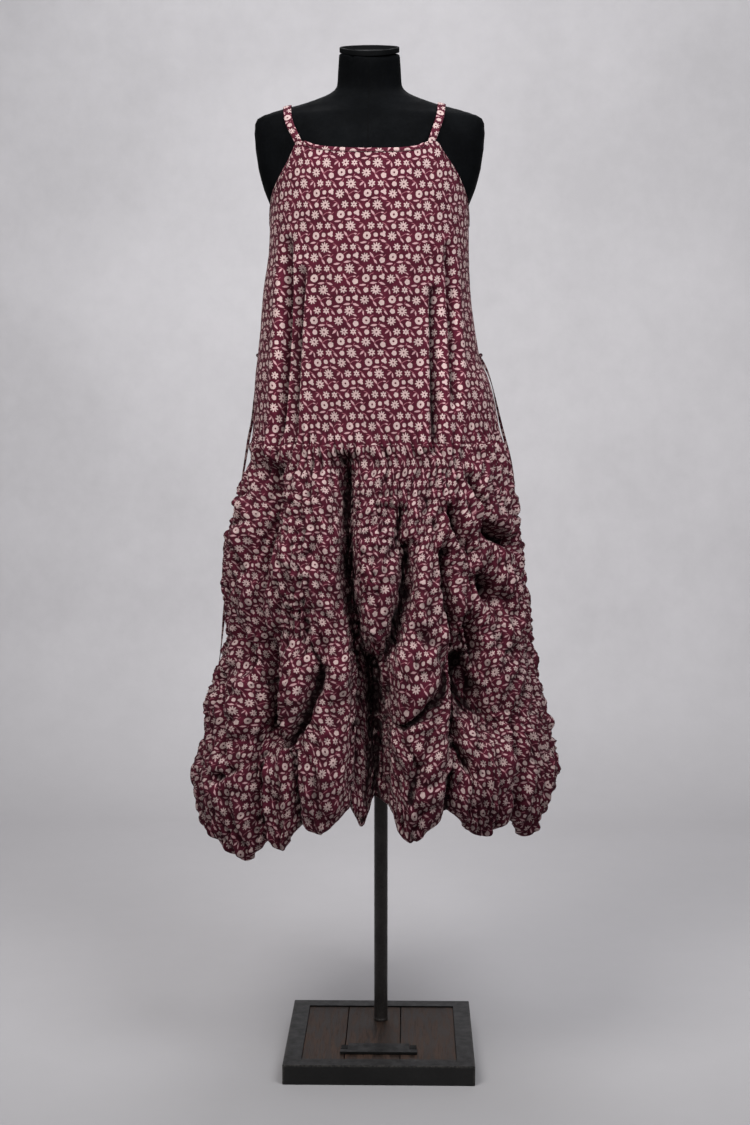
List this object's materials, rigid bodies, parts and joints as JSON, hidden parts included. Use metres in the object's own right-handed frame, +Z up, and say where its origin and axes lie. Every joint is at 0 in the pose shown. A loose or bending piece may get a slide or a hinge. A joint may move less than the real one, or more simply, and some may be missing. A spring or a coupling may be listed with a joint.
{
  "type": "slip dress on a dress form",
  "caption": "Strappy square-neck slip dress with a gathered, turned-under balloon skirt and side ties, on a limbless dark dress form with a pole and a square stand.",
  "frame": {"origin": "middle of the stand's underside, on the floor", "axes": "+Z is up along the pole, the front of the dress faces -Y, and +X is the dress's right side seen from the front"},
  "size_m": [0.5775, 0.5033, 1.6178],
  "materials": {
    "print_cotton": "matt woven cotton, burgundy with a small pale pink flower print",
    "tie_cotton": "narrow burgundy cotton ties",
    "form_cloth": "smooth near-black stretch cloth",
    "form_cap": "black neck cap with a shallow dish",
    "dark_steel": "near-black satin painted steel",
    "pole_steel": "dark bronze-grey steel tube",
    "plank_wood": "dark stained matt planks"
  },
  "bodies": {
    "root": {"bodice_front": "print_cotton", "bodice_back": "print_cotton", "skirt_front": "print_cotton", "skirt_back": "print_cotton", "neck_binding_front": "print_cotton", "neck_binding_back": "print_cotton", "armhole_binding_left": "print_cotton", "armhole_binding_right": "print_cotton", "strap_left": "print_cotton", "strap_right": "print_cotton", "side_tie_left": "tie_cotton", "side_tie_right": "tie_cotton", "form_torso": "form_cloth", "form_neck_cap": "form_cap", "form_pole": "pole_steel", "base_frame": "dark_steel", "base_plate": "dark_steel", "plate_lug_left": "dark_steel", "plate_lug_right": "dark_steel", "plank_left": "plank_wood", "plank_middle": "plank_wood", "plank_right": "plank_wood"}
  },
  "joints": []
}
